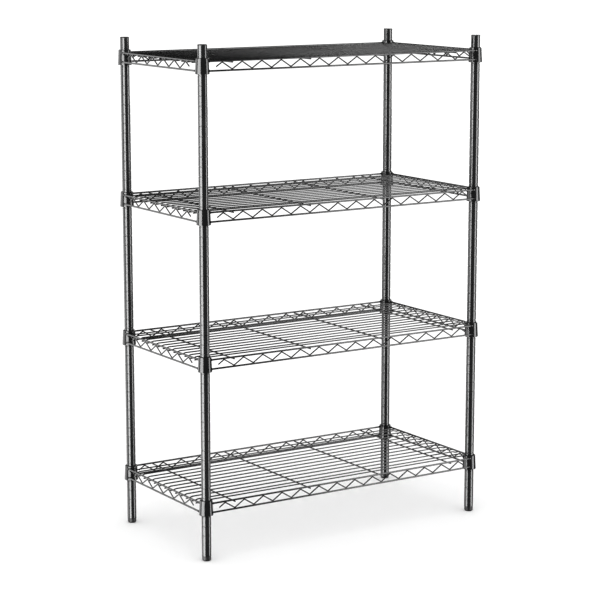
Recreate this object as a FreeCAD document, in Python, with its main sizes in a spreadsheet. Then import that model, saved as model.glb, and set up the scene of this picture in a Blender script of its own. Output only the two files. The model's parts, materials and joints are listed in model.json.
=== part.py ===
"""Four-tier wire shelving rack on four grooved posts, as a parametric FreeCAD document.

Frame: millimetres, +Z up, +X to the right and +Y to the back as seen from the front long side.
The origin is on the floor, midway between the four levelling feet.
"""
import FreeCAD, Part
import math
import os
import re
import Sketcher
from FreeCAD import Placement, Rotation, Vector

# ---------------------------------------------------------------- driving dimensions
SIZES = [
    # alias, value, what it is
    ("width", 882.0, "post centre to post centre along the long side"),
    ("depth", 425.4, "post centre to post centre along the short side"),
    ("total_height", 1378.0, "floor to the top of the post caps"),
    ("post_dia", 25.4, "post outside diameter"),
    ("post_wall", 1.5, "post tube wall"),
    ("groove_pitch", 26.12, "spacing of the rings that carry the sleeves"),
    ("groove_first", 71.0, "height of the lowest ring"),
    ("groove_count", 49, "rings on each post"),
    ("groove_depth", 0.8, "ring depth"),
    ("groove_floor", 1.8, "ring width at its bottom"),
    ("groove_mouth", 2.8, "ring width at the tube surface"),
    ("cap_thickness", 3.0, "post cap above the tube"),
    ("cap_plug", 10.0, "post cap plug inside the tube"),
    ("cap_chamfer", 1.0, "post cap edge"),
    ("insert_length", 25.0, "threaded insert inside the tube"),
    ("insert_flange", 1.2, "threaded insert rim under the tube"),
    ("foot_height", 13.0, "foot pad height"),
    ("foot_dia", 24.4, "foot pad diameter"),
    ("foot_sole_dia", 19.0, "flat face under the foot pad"),
    ("foot_bevel", 3.0, "height of the bevel round the sole"),
    ("foot_gap", 0.3, "gap between the pad and the insert when screwed home"),
    ("stud_dia", 9.525, "levelling stud diameter"),
    ("stud_length", 44.0, "levelling stud length"),
    ("stud_seat", 4.0, "height of the stud's seat in the pad"),
    ("stud_chamfer", 1.0, "levelling stud tip"),
    ("thread_gap", 0.05, "radial clearance of stud in insert"),
    ("collar_height", 41.0, "corner collar height"),
    ("collar_top_dia", 34.4, "corner collar outside diameter at the top"),
    ("collar_bottom_dia", 38.4, "corner collar outside diameter at the bottom"),
    ("collar_wall", 1.9, "corner collar wall"),
    ("collar_chamfer", 0.9, "corner collar edges"),
    ("sleeve_height", 36.0, "split sleeve height"),
    ("sleeve_low", 2.6, "split sleeve above the collar's lower edge"),
    ("sleeve_angle", 176.0, "angle that each sleeve half wraps"),
    ("sleeve_gap", 0.05, "radial clearance of sleeve on post"),
    ("cone_gap", 0.1, "radial clearance of collar on sleeve"),
    ("rib_height", 1.6, "sleeve rib that seats in a ring"),
    ("rib_level", 22.5, "sleeve rib above the collar's lower edge"),
    ("rail_dia", 4.8, "rail rod diameter"),
    ("rail_low", 8.0, "lower rail centre above the collar's lower edge"),
    ("rail_spread", 25.0, "lower rail centre to upper rail centre"),
    ("rail_offset", 13.95, "rail centre outside the post centre line"),
    ("rail_short", 3.0, "rail end before the post centre line"),
    ("zigzag_dia", 3.4, "zigzag wire diameter"),
    ("tooth_pitch", 60.0, "zigzag tooth pitch"),
    ("tooth_bend", 4.0, "zigzag bend radius on the wire's centre line"),
    ("tooth_tail", 18.0, "zigzag tail beyond its last peak"),
    ("long_teeth", 14, "zigzag peaks on a long side"),
    ("side_teeth", 6, "zigzag peaks on a short side"),
    ("weld_sink", 0.4, "depth that welded rods sink into each other"),
    ("deck_dia", 3.4, "deck wire diameter"),
    ("deck_pitch", 30.0, "deck wire spacing"),
    ("deck_half_count", 6, "evenly spaced deck wires on each side of the middle"),
    ("deck_outer", 188.2, "outermost deck wire from the middle"),
    ("deck_joggle", 10.0, "run of the step down at a deck wire's end"),
    ("rod_overhang", 1.5, "rod and wire ends beyond the rail that they pass under"),
    ("support_dia", 3.8, "cross support rod diameter"),
    ("support_pitch", 241.0, "cross support spacing"),
    ("support_count", 4, "cross supports under each deck"),
    ("bottom_groove", 3, "ring that carries the bottom shelf, counted from zero"),
    ("bay_grooves", 15, "rings from one shelf to the next"),
]
LEVELS = ["bottom_shelf", "lower_shelf", "upper_shelf", "top_shelf"]
CORNERS = {
    "front_left": (-1, -1),
    "front_right": (1, -1),
    "back_left": (-1, 1),
    "back_right": (1, 1),
}

doc = FreeCAD.newDocument("WireShelvingRack")
sheet = doc.addObject("Spreadsheet::Sheet", "Sizes")
for row, (alias, value, note) in enumerate(SIZES, start=1):
    sheet.set(f"A{row}", note)
    sheet.set(f"B{row}", str(value))
    sheet.setAlias(f"B{row}", alias)
doc.recompute()
ALIASES = {alias for alias, value, note in SIZES}

# Derived sizes, written once as expressions over the sheet.
POST_R = "post_dia / 2"
BORE_R = "(post_dia / 2 - post_wall)"
TUBE_BOTTOM = "(foot_height + foot_gap + insert_flange)"
TUBE_TOP = "(total_height - cap_thickness)"
STUD_R = "stud_dia / 2"
RAIL_R = "rail_dia / 2"
RAIL_HIGH = "(rail_low + rail_spread)"
APEX_INSET = "(rail_dia / 2 + zigzag_dia / 2 - weld_sink)"
SUPPORT_Z = "(rail_low + rail_spread - rail_dia / 2 - support_dia / 2 + weld_sink)"
DECK_Z = "(rail_low + rail_spread - rail_dia / 2 + deck_dia / 2)"
DECK_END_Z = "(rail_low + rail_spread - rail_dia / 2 - deck_dia / 2 + weld_sink)"
CONE_SLOPE = "((collar_bottom_dia - collar_top_dia) / 2 / collar_height)"


def expression(text):
    """Point every sheet alias in an expression at the sheet."""
    def qualify(match):
        word = match.group(0)
        return f"Sizes.{word}" if word in ALIASES else word
    return re.sub(r"[a-z_]+", qualify, text)


def number(text):
    """Present value of an expression."""
    return float(sheet.evalExpression(expression(text)))


def bind(item, target, text):
    item.setExpression(target, expression(text))


def origin_part(body, role):
    """Plane or axis of a body's own origin, such as XZ_Plane."""
    return next(part for part in body.Origin.OriginFeatures if part.Role == role)


def new_body(name):
    body = doc.addObject("PartDesign::Body", name)
    body.Label = name
    body.AllowCompound = True
    return body


# ---------------------------------------------------------------- sketches
def new_sketch(body, name, plane, offset="0"):
    """Sketch on an origin plane, moved along the plane's normal by an expression."""
    sketch = body.newObject("Sketcher::SketchObject", name)
    sketch.AttachmentSupport = [(origin_part(body, plane), "")]
    sketch.MapMode = "FlatFace"
    if offset != "0":
        bind(sketch, "AttachmentOffset.Base.z", offset)
    return sketch


def pin_point(sketch, geometry, point, target):
    """Dimension a sketch point from the sketch's origin by two expressions."""
    for kind, axis, text in (("DistanceX", -2, target[0]), ("DistanceY", -1, target[1])):
        value = number(text)
        if text == "0":
            sketch.addConstraint(Sketcher.Constraint("PointOnObject", geometry, point, axis))
            continue
        index = sketch.addConstraint(Sketcher.Constraint(kind, -1, 1, geometry, point, value))
        bind(sketch, f"Constraints[{index}]", text)


def corner_path(sketch, corners, closed):
    """Straight lines through corners, each corner given as two expressions."""
    points = [Vector(number(across), number(up), 0) for across, up in corners]
    ends = points[1:] + points[:1] if closed else points[1:]
    for start, end in zip(points, ends):
        sketch.addGeometry(Part.LineSegment(start, end), False)
    count = len(ends)
    for line in range(count if closed else count - 1):
        following = (line + 1) % count
        sketch.addConstraint(Sketcher.Constraint("Coincident", line, 2, following, 1))
    for line in range(count):
        pin_point(sketch, line, 1, corners[line])
    if not closed:
        pin_point(sketch, count - 1, 2, corners[-1])
    return sketch


def circle_sketch(body, name, plane, offset, centre, radius):
    sketch = new_sketch(body, name, plane, offset)
    middle = Vector(number(centre[0]), number(centre[1]), 0)
    sketch.addGeometry(Part.Circle(middle, Vector(0, 0, 1), number(radius)), False)
    index = sketch.addConstraint(Sketcher.Constraint("Radius", 0, number(radius)))
    bind(sketch, f"Constraints[{index}]", radius)
    pin_point(sketch, 0, 3, centre)
    return sketch


# ---------------------------------------------------------------- features
def turned(body, name, corners, cut=False, angle="360"):
    """Closed profile in radius and height, turned about the body's own Z axis."""
    sketch = corner_path(new_sketch(body, name + "_profile", "XZ_Plane"), corners, True)
    kind = "PartDesign::Groove" if cut else "PartDesign::Revolution"
    feature = body.newObject(kind, name)
    feature.Profile = sketch
    feature.ReferenceAxis = (sketch, ["V_Axis"])
    feature.Midplane = angle != "360"
    bind(feature, "Angle", angle)
    return feature


def row_of(body, name, axis, length, count, original=None):
    """Repeat one feature, or the whole body when none is given, along an origin axis."""
    doc.recompute()  # a pattern of the whole body needs the body's shape up to date
    pattern = body.newObject("PartDesign::LinearPattern", name)
    if original is None:
        pattern.TransformMode = "Whole shape"
    else:
        pattern.Originals = [original]
    pattern.Direction = (origin_part(body, axis), [""])
    pattern.Mode = "Extent"
    bind(pattern, "Length", length)
    bind(pattern, "Occurrences", count)
    body.Tip = pattern
    return pattern


def mirror_of(body, name, plane):
    """Mirror the whole body in one of its origin planes."""
    doc.recompute()  # as in row_of
    mirror = body.newObject("PartDesign::Mirrored", name)
    mirror.TransformMode = "Whole shape"
    mirror.MirrorPlane = (origin_part(body, plane), [""])
    body.Tip = mirror
    return mirror


def at_four_corners(body):
    """Repeat a piece built on one post at the other three posts."""
    row_of(body, "Along_width", "X_Axis", "width", "2")
    row_of(body, "Along_depth", "Y_Axis", "depth", "2")


def piped(body, name, path, profile):
    pipe = body.newObject("PartDesign::AdditivePipe", name)
    pipe.Profile = profile
    pipe.Spine = (path, [])
    pipe.Transition = "Right corner"
    return pipe


def rod(body, name, plane, centre, radius, length):
    """Straight round rod, centred on an origin plane."""
    sketch = circle_sketch(body, name + "_section", plane, "0", centre, radius)
    pad = body.newObject("PartDesign::Pad", name)
    pad.Profile = sketch
    pad.SideType = "Symmetric"
    bind(pad, "Length", length)
    return pad


# ---------------------------------------------------------------- posts, caps and feet
def build_post(body):
    """Tube with evenly spaced rings rolled into it."""
    tube = [(BORE_R, TUBE_BOTTOM), (POST_R, TUBE_BOTTOM), (POST_R, TUBE_TOP), (BORE_R, TUBE_TOP)]
    turned(body, "Tube", tube)
    floor_r = f"{POST_R} - groove_depth"
    ring = [
        (floor_r, "groove_first - groove_floor / 2"),
        (POST_R, "groove_first - groove_mouth / 2"),
        (f"{POST_R} + groove_depth", "groove_first - groove_mouth / 2"),
        (f"{POST_R} + groove_depth", "groove_first + groove_mouth / 2"),
        (POST_R, "groove_first + groove_mouth / 2"),
        (floor_r, "groove_first + groove_floor / 2"),
    ]
    groove = turned(body, "Ring", ring, cut=True)
    row_of(body, "Rings", "Z_Axis", "groove_pitch * (groove_count - 1)", "groove_count", groove)


def build_cap(body):
    """Cap as wide as the tube, with a plug that closes the tube's bore."""
    turned(body, "Cap", [
        ("0", f"{TUBE_TOP} - cap_plug"),
        (BORE_R, f"{TUBE_TOP} - cap_plug"),
        (BORE_R, TUBE_TOP),
        (POST_R, TUBE_TOP),
        (POST_R, "total_height - cap_chamfer"),
        (f"{POST_R} - cap_chamfer", "total_height"),
        ("0", "total_height"),
    ])


def build_insert(body):
    """Threaded insert pressed into the bottom of the tube."""
    turned(body, "Insert", [
        (f"{STUD_R} + thread_gap", f"{TUBE_BOTTOM} - insert_flange"),
        (POST_R, f"{TUBE_BOTTOM} - insert_flange"),
        (POST_R, TUBE_BOTTOM),
        (BORE_R, TUBE_BOTTOM),
        (BORE_R, f"{TUBE_BOTTOM} + insert_length"),
        (f"{STUD_R} + thread_gap", f"{TUBE_BOTTOM} + insert_length"),
    ])


def build_pad(body):
    """Foot pad with a blind seat for its stud."""
    turned(body, "Pad", [
        ("0", "0"),
        ("foot_sole_dia / 2", "0"),
        ("foot_dia / 2", "foot_bevel"),
        ("foot_dia / 2", "foot_height"),
        (STUD_R, "foot_height"),
        (STUD_R, "stud_seat"),
        ("0", "stud_seat"),
    ])


def build_stud(body):
    turned(body, "Stud", [
        ("0", "stud_seat"),
        (STUD_R, "stud_seat"),
        (STUD_R, "stud_seat + stud_length - stud_chamfer"),
        (f"{STUD_R} - stud_chamfer", "stud_seat + stud_length"),
        ("0", "stud_seat + stud_length"),
    ])


# ---------------------------------------------------------------- sleeves and shelves
# Each is built with height zero at the lower edge of its shelf's collars.
def build_sleeve_halves(body, side):
    """Tapered half sleeves that grip the four posts on one side, each with a rib in a ring."""
    def outer(height):
        inner_wall = f"collar_bottom_dia / 2 - collar_wall - {CONE_SLOPE} * ({height})"
        return f"{side} * ({inner_wall} - cone_gap)"

    bore = f"{side} * ({POST_R} + sleeve_gap)"
    rib = f"{side} * ({POST_R} - groove_depth + sleeve_gap)"
    low, high = "sleeve_low", "sleeve_low + sleeve_height"
    rib_low, rib_high = "rib_level - rib_height / 2", "rib_level + rib_height / 2"
    turned(body, "Half", [
        (bore, low), (outer(low), low), (outer(high), high), (bore, high),
        (bore, rib_high), (rib, rib_high), (rib, rib_low), (bore, rib_low),
    ], angle="sleeve_angle")
    at_four_corners(body)


def build_collars(body):
    """Conical corner collars that drop over the sleeves."""
    top_r, bottom_r = "collar_top_dia / 2", "collar_bottom_dia / 2"
    turned(body, "Collar", [
        (f"{bottom_r} - collar_wall", "0"),
        (f"{bottom_r} - collar_chamfer / 2", "0"),
        (bottom_r, "collar_chamfer"),
        (top_r, "collar_height - collar_chamfer"),
        (f"{top_r} - collar_chamfer", "collar_height"),
        (f"{top_r} - collar_wall", "collar_height"),
    ])
    at_four_corners(body)


def build_rails(body, run, across):
    """Upper and lower rails of two opposite sides, along the body's X axis.

    Their ends are shaped to the outside of the collars, sunk by the weld.
    """
    centre = (f"-({across} / 2 + rail_offset)", "rail_low")
    rod(body, "Rail", "YZ_Plane", centre, RAIL_R, f"{run} - 2 * rail_short")
    row_of(body, "Upper_and_lower", "Z_Axis", "rail_spread", "2")
    mirror_of(body, "Both_sides", "XZ_Plane")
    for corner, (left, front) in enumerate(CORNERS.values()):
        cone = body.newObject("PartDesign::SubtractiveCone", f"Cope_{corner}")
        cone.AttachmentSupport = [(origin_part(body, "XY_Plane"), "")]
        cone.MapMode = "FlatFace"
        bind(cone, "AttachmentOffset.Base.x", f"{left} * {run} / 2")
        bind(cone, "AttachmentOffset.Base.y", f"{front} * {across} / 2")
        bind(cone, "Radius1", "collar_bottom_dia / 2 - weld_sink")
        bind(cone, "Radius2", "collar_top_dia / 2 - weld_sink")
        bind(cone, "Height", "collar_height")
        body.Tip = cone


def tooth_path(body, across):
    """Centre line of one zigzag tooth: half a valley, a peak and half a valley, bends as arcs."""
    sketch = new_sketch(body, "Tooth_path", "XZ_Plane", f"{across} / 2 + rail_offset")
    valley_z, peak_z = f"rail_low + {APEX_INSET}", f"{RAIL_HIGH} - {APEX_INSET}"
    half, bend = number("tooth_pitch / 2"), number("tooth_bend")
    low, high = number(valley_z), number(peak_z)
    rise = high - low - 2 * bend
    slope = math.atan2(rise, half) + math.asin(2 * bend / math.hypot(half, rise))
    upward, downward = math.pi / 2, -math.pi / 2
    left = Part.Circle(Vector(0, low + bend, 0), Vector(0, 0, 1), bend)
    peak = Part.Circle(Vector(half, high - bend, 0), Vector(0, 0, 1), bend)
    right = Part.Circle(Vector(2 * half, low + bend, 0), Vector(0, 0, 1), bend)
    arcs = [
        Part.ArcOfCircle(left, downward, downward + slope),
        Part.ArcOfCircle(peak, upward - slope, upward + slope),
        Part.ArcOfCircle(right, downward - slope, downward),
    ]
    for arc in arcs:
        sketch.addGeometry(arc, False)
    sketch.addGeometry(Part.LineSegment(arcs[0].EndPoint, arcs[1].EndPoint), False)
    sketch.addGeometry(Part.LineSegment(arcs[1].StartPoint, arcs[2].StartPoint), False)
    for arc, arc_end, line, line_end in ((0, 2, 3, 1), (1, 2, 3, 2), (1, 1, 4, 1), (2, 1, 4, 2)):
        sketch.addConstraint(Sketcher.Constraint("Tangent", arc, arc_end, line, line_end))
    centres = [
        ("0", f"{valley_z} + tooth_bend"),
        ("tooth_pitch / 2", f"{peak_z} - tooth_bend"),
        ("tooth_pitch", f"{valley_z} + tooth_bend"),
    ]
    for arc, centre in enumerate(centres):
        pin_point(sketch, arc, 3, centre)
        index = sketch.addConstraint(Sketcher.Constraint("Radius", arc, bend))
        bind(sketch, f"Constraints[{index}]", "tooth_bend")
    sketch.addConstraint(Sketcher.Constraint("Vertical", 0, 3, 0, 1))
    sketch.addConstraint(Sketcher.Constraint("Vertical", 2, 3, 2, 2))
    return sketch


def build_zigzags(body, across, teeth):
    """Bent wires between the rails of two opposite sides, along the body's X axis.

    The right half of one wire is repeated teeth, cut off past the last peak. It is then mirrored.
    """
    side = f"({across} / 2 + rail_offset)"
    path = tooth_path(body, across)
    section = circle_sketch(
        body, "Wire_section", "YZ_Plane", "0", (f"-{side}", f"rail_low + {APEX_INSET}"),
        "zigzag_dia / 2")
    tooth = piped(body, "Tooth", path, section)
    row_of(body, "Teeth", "X_Axis", f"tooth_pitch * ({teeth} / 2 - 1)", f"{teeth} / 2", tooth)
    trim = body.newObject("PartDesign::SubtractiveBox", "Tail_end")
    trim.AttachmentSupport = [(origin_part(body, "XY_Plane"), "")]
    trim.MapMode = "FlatFace"
    bind(trim, "AttachmentOffset.Base.x", f"tooth_pitch * ({teeth} - 1) / 2 + tooth_tail")
    bind(trim, "AttachmentOffset.Base.y", f"-{side} - zigzag_dia")
    bind(trim, "Length", "tooth_pitch")
    bind(trim, "Width", "zigzag_dia * 2")
    bind(trim, "Height", "collar_height")
    body.Tip = trim
    mirror_of(body, "Left_half", "YZ_Plane")
    mirror_of(body, "Both_sides", "XZ_Plane")


def build_deck_wires(body):
    """Lengthwise wires on the cross supports, stepped down to pass under the side rails."""
    end = "width / 2 + rail_offset + rail_dia / 2 + rod_overhang"
    step = "width / 2 + rail_offset - rail_dia / 2 - deck_dia"

    def wire(name, across):
        path = new_sketch(body, name + "_path", "XZ_Plane", f"-({across})")
        corner_path(path, [
            (f"-({end})", DECK_END_Z), (f"-({step})", DECK_END_Z),
            (f"-({step} - deck_joggle)", DECK_Z), (f"{step} - deck_joggle", DECK_Z),
            (step, DECK_END_Z), (end, DECK_END_Z),
        ], False)
        section = circle_sketch(
            body, name + "_section", "YZ_Plane", f"-({end})", (across, DECK_END_Z), "deck_dia / 2")
        return piped(body, name, path, section)

    inner = wire("Inner_wire", "deck_pitch / 2")
    row_of(body, "Inner_wires", "Y_Axis", "deck_pitch * (deck_half_count - 1)", "deck_half_count", inner)
    wire("Outer_wire", "deck_outer")
    mirror_of(body, "Both_halves", "XZ_Plane")


def build_cross_supports(body):
    """Rods from front to back, under the long rails and the deck wires."""
    length = "depth + 2 * rail_offset + rail_dia + 2 * rod_overhang"
    first = "-support_pitch * (support_count - 1) / 2"
    rod(body, "Support", "XZ_Plane", (first, SUPPORT_Z), "support_dia / 2", length)
    row_of(body, "Supports", "X_Axis", "support_pitch * (support_count - 1)", "support_count")


# ---------------------------------------------------------------- the document
def place(body, left="0", front="0", height="0", quarter_turn=False):
    if quarter_turn:
        body.Placement = Placement(Vector(), Rotation(Vector(0, 0, 1), 90))
    bind(body, "Placement.Base.x", left)
    bind(body, "Placement.Base.y", front)
    bind(body, "Placement.Base.z", height)


def copy_of(source, name):
    """Body that repeats another body's finished shape."""
    body = new_body(name)
    base = doc.addObject("PartDesign::FeatureBase", name + "_shape")
    base.BaseFeature = source
    body.Group = [base]
    body.Tip = base
    return body


parts = []


def add_at_posts(kind, build):
    """One piece on each post: built once, then repeated at the other three."""
    source = None
    for corner, (left, front) in CORNERS.items():
        name = f"{kind}_{corner}"
        if source is None:
            body = source = new_body(name)
            build(body)
        else:
            body = copy_of(source, name)
        place(body, f"{left} * width / 2", f"{front} * depth / 2")
        parts.append(body)


def add_at_levels(kind, build, **placing):
    """One piece on each shelf: built once, then repeated at the other three heights."""
    source = None
    for level, shelf in enumerate(LEVELS):
        name = f"{shelf}_{kind}"
        if source is None:
            body = source = new_body(name)
            build(body)
        else:
            body = copy_of(source, name)
        ring = f"(bottom_groove + bay_grooves * {level})"
        height = f"groove_first + groove_pitch * {ring} - rib_level"
        place(body, height=height, **placing)
        parts.append(body)


add_at_posts("post", build_post)
add_at_posts("post_cap", build_cap)
add_at_posts("foot_insert", build_insert)
add_at_posts("foot_pad", build_pad)
add_at_posts("foot_stud", build_stud)

on_first_post = {"left": "-width / 2", "front": "-depth / 2"}
add_at_levels("sleeve_right_halves", lambda body: build_sleeve_halves(body, 1), **on_first_post)
add_at_levels("sleeve_left_halves", lambda body: build_sleeve_halves(body, -1), **on_first_post)
add_at_levels("collars", build_collars, **on_first_post)
add_at_levels("long_rails", lambda body: build_rails(body, "width", "depth"))
add_at_levels("side_rails", lambda body: build_rails(body, "depth", "width"), quarter_turn=True)
add_at_levels("long_zigzags", lambda body: build_zigzags(body, "depth", "long_teeth"))
add_at_levels(
    "side_zigzags", lambda body: build_zigzags(body, "width", "side_teeth"), quarter_turn=True)
add_at_levels("deck_wires", build_deck_wires)
add_at_levels("cross_supports", build_cross_supports)

doc.recompute()

# ---------------------------------------------------------------- checks and export
for item in doc.Objects:
    if "Invalid" in item.State or "Error" in item.State:
        raise RuntimeError(f"{item.Label} did not build: {item.State}")
for body in parts:
    if body.Shape.isNull() or not body.Shape.isValid():
        raise RuntimeError(f"{body.Label} has no valid shape")

os.makedirs("parts", exist_ok=True)
for body in parts:
    body.Shape.exportStep(f"parts/{body.Label}.step")
    print(f"{body.Label}: {len(body.Shape.Solids)} solids, {body.Shape.Volume:.0f} mm3")
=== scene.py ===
"""Looks of the four-tier wire shelving rack: welds, coatings, plastics, studio and camera.

Metres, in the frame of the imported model: +Z up, +X right and +Y back, seen from the front.
"""
import functools
import json
import math
import bmesh
import bpy
import numpy as np
from mathutils import Matrix, Vector, noise


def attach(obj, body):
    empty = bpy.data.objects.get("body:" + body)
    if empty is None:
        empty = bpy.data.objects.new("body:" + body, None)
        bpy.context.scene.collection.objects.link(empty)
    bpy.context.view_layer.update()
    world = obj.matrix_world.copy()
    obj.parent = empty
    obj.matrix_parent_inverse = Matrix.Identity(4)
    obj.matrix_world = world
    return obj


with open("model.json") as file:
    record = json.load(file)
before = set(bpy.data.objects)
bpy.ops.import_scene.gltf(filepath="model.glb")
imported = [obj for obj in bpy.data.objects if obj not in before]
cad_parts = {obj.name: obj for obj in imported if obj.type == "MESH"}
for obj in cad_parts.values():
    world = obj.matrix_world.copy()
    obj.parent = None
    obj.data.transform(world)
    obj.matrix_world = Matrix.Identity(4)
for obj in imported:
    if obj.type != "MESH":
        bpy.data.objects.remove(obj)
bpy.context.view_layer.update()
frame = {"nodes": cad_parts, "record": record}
nodes = frame["nodes"]

LEVELS = ("bottom_shelf", "lower_shelf", "upper_shelf", "top_shelf")

# Rings on the posts, which the nodes' boxes don't give.
RING_PITCH = 0.02612
RING_FIRST = 0.071
RING_MOUTH = 0.0028

# Weld beads: half sizes across and upright.
CROSSING_BEAD = (0.0023, 0.0010)
WIRE_END_BEAD = (0.0023, 0.0012)
SUPPORT_END_BEAD = (0.0025, 0.0012)
COLLAR_BEAD_ALONG = 0.0036
COLLAR_BEAD_ACROSS = 1.32  # times the rail's radius
COLLAR_BEAD_UPRIGHT = 1.35  # times the rail's radius
COLLAR_BEAD_OUT = 0.0004
COLLAR_TAPER = 0.96  # the collar's mean radius over its widest
BEAD_SINK = 0.0002
BEAD_TURN = 0.6
BEAD_GRAIN = 900.0


# ---------------------------------------------------------------- node trees
def new_material(name):
    material = bpy.data.materials.new(name)
    material.use_nodes = True
    tree = material.node_tree
    tree.nodes.clear()
    return material, tree


def add(tree, kind, **values):
    """New node. A value goes to the node's own setting of that name, or else to its input."""
    node = tree.nodes.new(kind)
    for key, value in values.items():
        if hasattr(node, key):
            setattr(node, key, value)
        else:
            node.inputs[key.replace("_", " ")].default_value = value
    return node


class Skin:
    """A Principled surface: a start colour and roughness, and layers that each mix over the last."""

    def __init__(self, name, specular, colour, rough):
        self.material, self.tree = new_material(name)
        out = add(self.tree, "ShaderNodeOutputMaterial")
        self.shader = add(self.tree, "ShaderNodeBsdfPrincipled", IOR=1.55)
        self.shader.inputs["Specular IOR Level"].default_value = specular
        self.link(self.shader.outputs[0], out.inputs[0])
        self.place = add(self.tree, "ShaderNodeTexCoord").outputs["Object"]
        self.colour = (*colour, 1.0)
        self.rough = float(rough)
        self.normal = None

    def link(self, start, end):
        self.tree.links.new(start, end)

    def math(self, operation, *inputs):
        node = add(self.tree, "ShaderNodeMath", operation=operation)
        for socket, value in zip(node.inputs, inputs):
            self.feed(value, socket)
        return node.outputs[0]

    def ramp(self, value, low, high, start=0.0, end=1.0):
        """Smooth step of a value between low and high, from start to end."""
        node = add(self.tree, "ShaderNodeMapRange", interpolation_type="SMOOTHSTEP")
        node.inputs["From Min"].default_value = low
        node.inputs["From Max"].default_value = high
        node.inputs["To Min"].default_value = start
        node.inputs["To Max"].default_value = end
        self.link(value, node.inputs["Value"])
        return node.outputs[0]

    def noise(self, scale, detail=3.0, stretch=(1, 1, 1), offset=0.0):
        """Noise of a given scale, per metre, drawn out along the axes with a small stretch."""
        moved = add(self.tree, "ShaderNodeMapping")
        moved.inputs["Scale"].default_value = stretch
        moved.inputs["Location"].default_value = (offset, offset, offset)
        self.link(self.place, moved.inputs["Vector"])
        node = add(self.tree, "ShaderNodeTexNoise", Scale=scale, Detail=detail)
        self.link(moved.outputs[0], node.inputs["Vector"])
        return node.outputs[0]

    def axis(self, axis):
        split = add(self.tree, "ShaderNodeSeparateXYZ")
        self.link(self.place, split.inputs[0])
        return split.outputs[axis]

    def upward(self):
        """How far the surface faces up, 0 on walls and undersides."""
        split = add(self.tree, "ShaderNodeSeparateXYZ")
        self.link(add(self.tree, "ShaderNodeNewGeometry").outputs["Normal"], split.inputs[0])
        return self.ramp(split.outputs[2], 0.35, 1.0)

    def feed(self, value, socket):
        """Set a socket to a plain value, or link it to another node's output."""
        if isinstance(value, (float, tuple)):
            socket.default_value = value
        else:
            self.link(value, socket)

    def layer(self, mask, colour, rough):
        """Mix a colour and a roughness over what is there, where the mask is 1."""
        tint = add(self.tree, "ShaderNodeMix", data_type="RGBA")
        self.link(mask, tint.inputs[0])
        self.feed(self.colour, tint.inputs[6])
        tint.inputs[7].default_value = (*colour, 1.0)
        self.colour = tint.outputs[2]
        gloss = add(self.tree, "ShaderNodeMix", data_type="FLOAT")
        self.link(mask, gloss.inputs[0])
        self.feed(self.rough, gloss.inputs[2])
        gloss.inputs[3].default_value = rough
        self.rough = gloss.outputs[0]

    def bump(self, height, strength, distance):
        node = add(self.tree, "ShaderNodeBump", Strength=strength, Distance=distance)
        self.link(height, node.inputs["Height"])
        if self.normal is not None:
            self.link(self.normal, node.inputs["Normal"])
        self.normal = node.outputs[0]

    def finish(self):
        self.link(self.colour, self.shader.inputs["Base Color"])
        self.link(self.rough, self.shader.inputs["Roughness"])
        self.link(self.normal, self.shader.inputs["Normal"])
        return self.material


def grey(value, warmth=0.0):
    return (value * (1 + warmth), value, value * (1 - warmth))


# ---------------------------------------------------------------- materials
def powder_coat(name, dark, light, rough, peel, dust, specular=0.85):
    """Gloss black powder coat: mottled, with orange peel, rub marks and dust on what faces up.

    The skin is returned unfinished, so that more layers can go on.
    """
    skin = Skin(name, specular, grey(dark, -0.02), rough[0])
    skin.layer(skin.noise(38.0, 4.0), grey(light, -0.02), rough[1])
    skin.layer(skin.ramp(skin.noise(9.0, 5.0, offset=3.0), 0.52, 0.72), grey(light * 1.15), rough[1] + 0.05)
    scuffs = skin.ramp(skin.noise(260.0, 2.0, (1, 1, 0.06), 7.0), 0.66, 0.74)
    skin.layer(skin.math("MULTIPLY", scuffs, 0.3), grey(light * 1.8), rough[1] + 0.08)
    specks = skin.ramp(skin.noise(420.0, 1.0, offset=11.0), 0.35, 0.8)
    settled = skin.math("MULTIPLY", skin.math("MULTIPLY", skin.upward(), specks), dust)
    skin.layer(settled, grey(0.22, 0.04), 0.8)
    skin.bump(skin.noise(330.0, 1.0, offset=5.0), peel, 0.0003)
    skin.bump(skin.noise(1500.0, 2.0, offset=9.0), peel, 0.00005)
    return skin


def post_coat(name):
    """The posts' coat: painted shade darkening the rings' grooves, and the rings' lips rubbed by the
    sleeves.
    """
    lip, slope = 0.0006, 0.0006
    skin = powder_coat(name, 0.022, 0.034, (0.09, 0.13), 0.016, 0.3)
    height = skin.math("SUBTRACT", skin.axis(2), RING_FIRST)
    away = skin.math("PINGPONG", height, RING_PITCH / 2)
    worn = skin.math("MULTIPLY", skin.ramp(away, RING_MOUTH / 2 + lip, RING_MOUTH / 2), 0.3)
    skin.layer(worn, grey(0.06), 0.13)
    # Painted shade: the coat is darkened to near black inside each ring's groove, where shade falls.
    ring_shade = skin.ramp(away, RING_MOUTH / 2, RING_MOUTH / 2 - slope)
    skin.layer(skin.math("MULTIPLY", ring_shade, 0.6), grey(0.008), 0.35)
    return skin.finish()


def moulded(name, dark, light, rough, grain):
    """Moulded black plastic: fine spark-eroded grain, flow mottling and a few rubbed spots."""
    skin = Skin(name, 0.5, grey(dark), rough[0])
    skin.layer(skin.noise(60.0, 4.0), grey(light), rough[1])
    rubbed = skin.ramp(skin.noise(140.0, 2.0, offset=4.0), 0.62, 0.75)
    skin.layer(skin.math("MULTIPLY", rubbed, 0.4), grey(light * 1.8), rough[0] * 0.8)
    dusty = skin.math("MULTIPLY", skin.upward(), skin.noise(300.0, 2.0, offset=8.0))
    skin.layer(skin.math("MULTIPLY", dusty, 0.25), grey(0.2, 0.04), 0.85)
    skin.bump(skin.noise(1800.0, 2.0), grain, 0.00012)
    return skin.finish()


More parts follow.
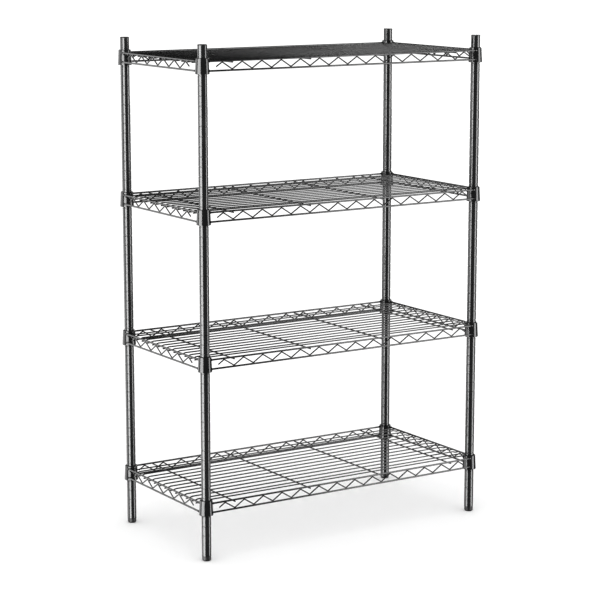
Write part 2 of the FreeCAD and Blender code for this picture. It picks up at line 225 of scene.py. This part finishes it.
def zinc(name):
    """Zinc-plated stud: pale grey with fine streaks round it."""
    skin = Skin(name, 0.5, (0.36, 0.36, 0.35), 0.3)
    skin.shader.inputs["Metallic"].default_value = 1.0
    skin.layer(skin.noise(120.0, 4.0), (0.52, 0.52, 0.50), 0.42)
    dull = skin.ramp(skin.noise(500.0, 2.0, (0.3, 0.3, 3.0)), 0.55, 0.7)
    skin.layer(dull, (0.28, 0.27, 0.25), 0.55)
    skin.bump(skin.noise(900.0, 2.0, (0.2, 0.2, 4.0)), 0.3, 0.0001)
    return skin.finish()


# After the name: dark and light grey, two roughnesses and bump, then a powder coat's dust and gloss.
SLOTS = {
    "post_coating": post_coat("post_coating"),
    "shelf_coating": powder_coat("shelf_coating", 0.014, 0.024, (0.12, 0.18), 0.02, 0.12, 0.7).finish(),
    "wire_coating": powder_coat("wire_coating", 0.007, 0.014, (0.16, 0.24), 0.02, 0.08, 0.6).finish(),
    "sleeve_plastic": moulded("sleeve_plastic", 0.012, 0.02, (0.5, 0.6), 0.3),
    "cap_plastic": moulded("cap_plastic", 0.02, 0.032, (0.28, 0.4), 0.2),
    "foot_plastic": moulded("foot_plastic", 0.022, 0.036, (0.35, 0.5), 0.25),
    # The thread insert is coloured near black: partly a blackened steel finish, partly painted shade for
    # the shadowed gap between the post's end and the foot.
    "insert_steel": moulded("insert_steel", 0.008, 0.014, (0.4, 0.5), 0.15),
    "zinc_steel": zinc("zinc_steel"),
}
for part in frame["record"]["subparts"]:
    node = nodes[part["node"]]
    node.data.materials.clear()
    node.data.materials.append(SLOTS[part["material_slot"]])


# ---------------------------------------------------------------- welds
@functools.cache
def patches(name):
    """Box of each patch of a node's mesh: a list of lowest and highest corners.

    The mesh is not joined where CAD faces meet, so that one rod gives its side and both its ends.
    """
    mesh = nodes[name].data
    places = np.empty(len(mesh.vertices) * 3)
    mesh.vertices.foreach_get("co", places)
    places = places.reshape(-1, 3)
    ends = np.empty(len(mesh.edges) * 2, dtype=np.int64)
    mesh.edges.foreach_get("vertices", ends)
    group = list(range(len(places)))

    def root(index):
        while group[index] != index:
            group[index] = group[group[index]]
            index = group[index]
        return index

    for start, end in ends.reshape(-1, 2).tolist():
        a, b = root(start), root(end)
        group[max(a, b)] = min(a, b)
    roots = np.array([root(index) for index in range(len(places))])
    return [
        (Vector(places[roots == one].min(axis=0)), Vector(places[roots == one].max(axis=0)))
        for one in np.unique(roots)
    ]


def unit_lump():
    """Corners and faces of a ball of radius 1, the start of every weld bead."""
    bm = bmesh.new()
    bmesh.ops.create_icosphere(bm, subdivisions=2, radius=1.0)
    corners = [vertex.co.copy() for vertex in bm.verts]
    faces = [[vertex.index for vertex in face.verts] for face in bm.faces]
    bm.free()
    return corners, faces


LUMP_CORNERS, LUMP_FACES = unit_lump()


class Welds:
    """Weld beads of one shelf, as one mesh: small uneven lumps where two rods meet.

    A bead is made for every pair of patches, so most beads are exact copies, stacked in one place.
    """

    LUMPS = 0.12  # unevenness, as a share of the bead's size

    def __init__(self):
        self.corners = []
        self.faces = []

    def bead(self, centre, radii, turn=0.0):
        """Closed lump with its own unevenness, turned about Z by an angle in radians."""
        shape = Matrix.Rotation(turn, 3, "Z") @ Matrix.Diagonal(radii)
        first = len(self.corners)
        for corner in LUMP_CORNERS:
            place = shape @ corner
            swell = 1 + self.LUMPS * noise.noise((centre + place) * BEAD_GRAIN)
            self.corners.append(centre + place * swell)
        self.faces += [[first + index for index in face] for face in LUMP_FACES]

    def crossing(self, centre, size):
        """Flat round bead between two rods that cross, one over the other."""
        across, upright = size
        self.bead(centre, (across, across, upright), BEAD_TURN)

    def piece(self, name, body):
        """Object made of the beads so far, riding on a body."""
        mesh = bpy.data.meshes.new(name)
        mesh.from_pydata(self.corners, [], self.faces)
        for polygon in mesh.polygons:
            polygon.use_smooth = True
        mesh.materials.append(SLOTS["shelf_coating"])
        piece = bpy.data.objects.new(name, mesh)
        bpy.context.scene.collection.objects.link(piece)
        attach(piece, body)


def weld_collars(welds, level, side, run):
    """Beads round the rails of two sides, where they run into the collars; run is 0 for X, 1 for Y."""
    across = 1 - run
    collars = patches(f"{level}_collars")
    reach = max(high[0] - low[0] for low, high in collars) / 2
    for low, high in patches(f"{level}_{side}_rails"):
        line = (low + high) / 2
        radius = (high[2] - low[2]) / 2
        radii = [0, 0, 0]
        radii[run] = COLLAR_BEAD_ALONG
        radii[across] = radius * COLLAR_BEAD_ACROSS
        radii[2] = radius * COLLAR_BEAD_UPRIGHT
        for collar_low, collar_high in collars:
            centre = (collar_low + collar_high) / 2
            gap = line[across] - centre[across]
            if abs(gap) > reach:
                continue
            entry = math.sqrt((reach * COLLAR_TAPER) ** 2 - gap ** 2)
            spot = line.copy()
            spot[run] = centre[run] - math.copysign(entry + COLLAR_BEAD_OUT, centre[run])
            welds.bead(spot, radii)


def weld_deck(welds, level):
    """Beads where deck wires cross the supports, and where wires and supports pass under rails.

    The raised patches of a wire give beads inside the side rails as well, which barely show.
    """
    wires = patches(f"{level}_deck_wires")
    supports = patches(f"{level}_cross_supports")
    for wire_low, wire_high in wires:
        y = (wire_low[1] + wire_high[1]) / 2
        for low, high in supports:
            welds.crossing(Vector(((low[0] + high[0]) / 2, y, high[2])), CROSSING_BEAD)
        wire_dia = wire_high[1] - wire_low[1]
        under = wire_low[2] + wire_dia - BEAD_SINK
        for low, high in patches(f"{level}_side_rails"):
            if low[2] > wire_low[2]:
                welds.crossing(Vector(((low[0] + high[0]) / 2, y, under)), WIRE_END_BEAD)
    for support_low, support_high in supports:
        x = (support_low[0] + support_high[0]) / 2
        for low, high in patches(f"{level}_long_rails"):
            if low[2] > support_low[2]:
                spot = Vector((x, (low[1] + high[1]) / 2, support_high[2] - BEAD_SINK))
                welds.crossing(spot, SUPPORT_END_BEAD)


for level in LEVELS:
    welds = Welds()
    weld_collars(welds, level, "long", 0)
    weld_collars(welds, level, "side", 1)
    weld_deck(welds, level)
    welds.piece(f"{level}_welds", level)

# ---------------------------------------------------------------- stage
FLOOR_HALF = 60.0
FLOOR_GREY = 0.92
SKY = 1.35
SKY_IN_GLOSS = 0.04


def make_floor():
    """Plain pale floor, left out of the rack's reflections."""
    mesh = bpy.data.meshes.new("floor")
    signs = ((-1, -1), (1, -1), (1, 1), (-1, 1))
    corners = [(sx * FLOOR_HALF, sy * FLOOR_HALF, 0.0) for sx, sy in signs]
    mesh.from_pydata(corners, [], [(0, 1, 2, 3)])
    floor = bpy.data.objects.new("floor", mesh)
    bpy.context.scene.collection.objects.link(floor)
    floor.visible_glossy = False
    paper, tree = new_material("floor_paper")
    out = add(tree, "ShaderNodeOutputMaterial")
    skin = add(tree, "ShaderNodeBsdfDiffuse")
    skin.inputs["Color"].default_value = (FLOOR_GREY, FLOOR_GREY, FLOOR_GREY, 1)
    tree.links.new(skin.outputs[0], out.inputs[0])
    mesh.materials.append(paper)


def make_sky():
    """White surroundings, nearly dark where they show in gloss."""
    world = bpy.data.worlds.new("studio")
    world.use_nodes = True
    bpy.context.scene.world = world
    tree = world.node_tree
    tree.nodes.clear()
    out = add(tree, "ShaderNodeOutputWorld")
    glow = add(tree, "ShaderNodeBackground")
    rays = add(tree, "ShaderNodeLightPath")
    strength = add(tree, "ShaderNodeMapRange")
    strength.inputs["To Min"].default_value = SKY
    strength.inputs["To Max"].default_value = SKY_IN_GLOSS
    tree.links.new(rays.outputs["Is Glossy Ray"], strength.inputs["Value"])
    tree.links.new(strength.outputs[0], glow.inputs["Strength"])
    tree.links.new(glow.outputs[0], out.inputs[0])


def panel(name, start, end, low, high, radiance):
    """A tall light panel on the line start-end, from low to high, facing the rack, in gloss only."""
    a, b = Vector((*start, 0.0)), Vector((*end, 0.0))
    along = (b - a).normalized()
    facing = Vector((along.y, -along.x, 0.0))
    middle = (a + b) / 2 + Vector((0, 0, (low + high) / 2))
    if facing.dot(-middle) < 0:
        facing = -facing
    data = bpy.data.lights.new(name, "AREA")
    data.shape = "RECTANGLE"
    data.size, data.size_y = (b - a).length, high - low
    data.energy = radiance * math.pi * data.size * data.size_y
    light = bpy.data.objects.new(name, data)
    light.location = middle
    light.rotation_mode = "QUATERNION"
    light.rotation_quaternion = (-facing).to_track_quat("Z", "Y")
    bpy.context.scene.collection.objects.link(light)
    light.visible_camera = False
    light.visible_diffuse = False
    return light


def leave_dark(light, names):
    """Keep a panel's gleam off some nodes, which would mirror it end on."""
    group = bpy.data.collections.new(light.name + "_leaves_dark")
    for name in names:
        group.objects.link(nodes[name])
    light.light_linking.receiver_collection = group
    for member in group.collection_objects:
        member.light_linking.link_state = "EXCLUDE"


def make_overhead(strength, spread, tilt):
    """Broad soft light from above, for the faint shadow on the floor; the angles are in degrees."""
    data = bpy.data.lights.new("overhead", "SUN")
    data.energy = strength
    data.angle = math.radians(spread)
    overhead = bpy.data.objects.new("overhead", data)
    overhead.rotation_euler = (math.radians(tilt[0]), math.radians(tilt[1]), 0)
    overhead.visible_glossy = False
    bpy.context.scene.collection.objects.link(overhead)


make_floor()
make_sky()
panel_left = panel("panel_left", (-1.138, -0.625), (-1.19, 0.126), -0.8, 2.0, 8.0)
leave_dark(panel_left, [f"{level}_deck_wires" for level in LEVELS])
panel("panel_back_left", (-1.027, 0.363), (-0.418, 1.359), -0.8, 2.0, 2.2)
panel("panel_right", (0.951, -1.804), (3.291, -1.946), -1.5, 2.5, 5.4)
panel("panel_high_back", (1.763, 2.427), (2.954, 0.521), 0.95, 3.2, 2.4)
panel("panel_back_right", (1.498, 0.298), (1.389, 1.78), -0.8, 2.0, 0.9)
make_overhead(0.6, 60, (20, -15))

# ---------------------------------------------------------------- camera
CAMERA_PLACE = (-3.0585, -4.7594, 1.675)
CAMERA_TURN = 32.67  # degrees to the right of +Y
CAMERA_DIP = 10.42  # degrees below level
LENS = 121.8  # millimetres, like the sensor
SENSOR = 36.0
CLIP_END = 200.0
VIEW_GAMMA = 0.8


def make_camera():
    """Long lens from the front left, a little above the rack, with no shift."""
    data = bpy.data.cameras.new("camera")
    data.lens = LENS
    data.sensor_width = SENSOR
    data.clip_end = CLIP_END
    camera = bpy.data.objects.new("camera", data)
    camera.location = CAMERA_PLACE
    camera.rotation_euler = (math.radians(90 - CAMERA_DIP), 0.0, math.radians(-CAMERA_TURN))
    bpy.context.scene.collection.objects.link(camera)
    bpy.context.scene.camera = camera


make_camera()
bpy.context.scene.view_settings.view_transform = "Standard"
bpy.context.scene.view_settings.gamma = VIEW_GAMMA
